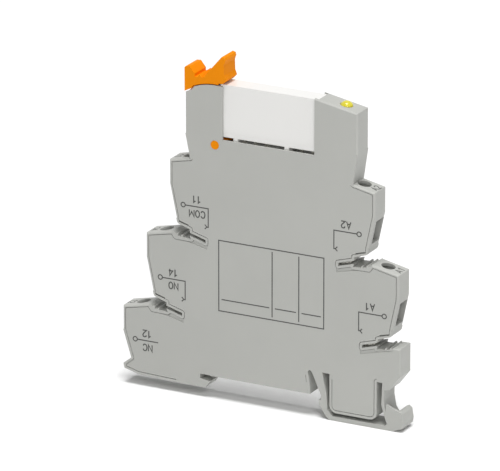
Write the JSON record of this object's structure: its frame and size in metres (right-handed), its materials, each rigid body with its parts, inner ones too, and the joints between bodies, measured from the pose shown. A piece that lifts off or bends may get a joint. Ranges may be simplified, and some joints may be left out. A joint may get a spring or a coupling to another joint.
{
  "type": "relay module",
  "caption": "Slim stepped rail-mount relay module with screw terminals, plug-in relay, swinging retaining lever, sprung foot and status light.",
  "frame": {"origin": "centre of the seat that lies on the top of the mounting rail, at mid thickness", "axes": "X along the length with the coil terminals at +X, Y through the thickness with the printed face at -Y, Z away from the rail"},
  "size_m": [0.0804, 0.0062, 0.0925],
  "materials": {
    "housing": "fine matt moulded",
    "lever": "smooth moulded",
    "relay_case": "smooth moulded",
    "relay_base": "moulded",
    "zinc_steel": "zinc plated",
    "soft_iron": "plain",
    "copper": "enamelled wire",
    "tinned_brass": "tinned",
    "spring_bronze": "bright",
    "bobbin": "moulded",
    "board": "lacquered laminate",
    "component": "moulded",
    "led": "tinted clear"
  },
  "bodies": {
    "module_base": {"housing": "housing", "side_cover": "housing", "circuit_board": "board", "rectifier": "component", "series_resistor": "component", "led_resistor": "component", "suppressor_diode": "component", "indicator_led": "led", "busbar_11": "tinned_brass", "busbar_14": "tinned_brass", "busbar_12": "tinned_brass", "busbar_a2": "tinned_brass", "busbar_a1": "tinned_brass", "socket_contact_nc": "spring_bronze", "socket_contact_common": "spring_bronze", "socket_contact_no": "spring_bronze", "socket_contact_a1": "spring_bronze", "socket_contact_a2": "spring_bronze"},
    "lever": {"retaining_lever": "lever"},
    "relay": {"relay_cover": "relay_case", "relay_base": "relay_base", "relay_bobbin": "bobbin", "relay_coil": "copper", "relay_core": "soft_iron", "relay_yoke": "soft_iron", "relay_common_pin": "tinned_brass", "relay_contact_nc": "tinned_brass", "relay_contact_no": "tinned_brass", "relay_coil_pin_a1": "tinned_brass", "relay_coil_pin_a2": "tinned_brass"},
    "armature": {"relay_armature": "soft_iron"},
    "card": {"relay_card": "relay_base"},
    "common_spring": {"relay_common_spring": "spring_bronze"},
    "screw_11": {"screw_11": "zinc_steel"},
    "clamp_11": {"clamp_11": "zinc_steel"},
    "screw_14": {"screw_14": "zinc_steel"},
    "clamp_14": {"clamp_14": "zinc_steel"},
    "screw_12": {"screw_12": "zinc_steel"},
    "clamp_12": {"clamp_12": "zinc_steel"},
    "screw_a2": {"screw_a2": "zinc_steel"},
    "clamp_a2": {"clamp_a2": "zinc_steel"},
    "screw_a1": {"screw_a1": "zinc_steel"},
    "clamp_a1": {"clamp_a1": "zinc_steel"}
  },
  "joints": [
    {"name": "lever_swing", "type": "hinge", "parent": "module_base", "child": "lever", "pos_m": [-0.0131, 0, 0.0627], "axis": [0, -1, 0], "range_deg": [0, 35]},
    {"name": "relay_lift", "type": "slide", "parent": "module_base", "child": "relay", "axis": [0, 0, 1], "range_m": [0, 0.0025]},
    {"name": "armature_tilt", "type": "hinge", "parent": "relay", "child": "armature", "pos_m": [0.0022, 0, 0.0668], "axis": [0, 1, 0], "range_deg": [0, 4]},
    {"name": "card_slide", "type": "slide", "parent": "relay", "child": "card", "axis": [1, 0, 0], "range_m": [0, 0.00069]},
    {"name": "spring_bend", "type": "hinge", "parent": "relay", "child": "common_spring", "pos_m": [-0.0029, 0, 0.0668], "axis": [0, 1, 0], "range_deg": [0, 4.2]},
    {"name": "screw_turn_11", "type": "hinge", "parent": "module_base", "child": "screw_11", "pos_m": [-0.02082, 0, 0.05393], "axis": [0.2079, 0, -0.9781], "range_deg": [0, 1585]},
    {"name": "clamp_rise_11", "type": "slide", "parent": "module_base", "child": "clamp_11", "axis": [-0.2079, 0, 0.9781], "range_m": [0, 0.0022]},
    {"name": "screw_turn_14", "type": "hinge", "parent": "module_base", "child": "screw_14", "pos_m": [-0.02767, 0, 0.03303], "axis": [0.2079, 0, -0.9781], "range_deg": [0, 1585]},
    {"name": "clamp_rise_14", "type": "slide", "parent": "module_base", "child": "clamp_14", "axis": [-0.2079, 0, 0.9781], "range_m": [0, 0.0022]},
    {"name": "screw_turn_12", "type": "hinge", "parent": "module_base", "child": "screw_12", "pos_m": [-0.03452, 0, 0.01213], "axis": [0.2079, 0, -0.9781], "range_deg": [0, 1585]},
    {"name": "clamp_rise_12", "type": "slide", "parent": "module_base", "child": "clamp_12", "axis": [-0.2079, 0, 0.9781], "range_m": [0, 0.0022]},
    {"name": "screw_turn_a2", "type": "hinge", "parent": "module_base", "child": "screw_a2", "pos_m": [0.02702, 0, 0.05393], "axis": [-0.2079, 0, -0.9781], "range_deg": [0, 1585]},
    {"name": "clamp_rise_a2", "type": "slide", "parent": "module_base", "child": "clamp_a2", "axis": [0.2079, 0, 0.9781], "range_m": [0, 0.0022]},
    {"name": "screw_turn_a1", "type": "hinge", "parent": "module_base", "child": "screw_a1", "pos_m": [0.03387, 0, 0.03303], "axis": [-0.2079, 0, -0.9781], "range_deg": [0, 1585]},
    {"name": "clamp_rise_a1", "type": "slide", "parent": "module_base", "child": "clamp_a1", "axis": [0.2079, 0, 0.9781], "range_m": [0, 0.0022]}
  ],
  "couplings": [
    {"joint": "relay_lift", "follows": "lever_swing", "m_per_rad": 0.004},
    {"joint": "armature_tilt", "follows": "card_slide", "rad_per_m": 100},
    {"joint": "spring_bend", "follows": "card_slide", "rad_per_m": 100},
    {"joint": "screw_turn_11", "follows": "clamp_rise_11", "rad_per_m": 12566},
    {"joint": "screw_turn_14", "follows": "clamp_rise_14", "rad_per_m": 12566},
    {"joint": "screw_turn_12", "follows": "clamp_rise_12", "rad_per_m": 12566},
    {"joint": "screw_turn_a2", "follows": "clamp_rise_a2", "rad_per_m": 12566},
    {"joint": "screw_turn_a1", "follows": "clamp_rise_a1", "rad_per_m": 12566}
  ]
}
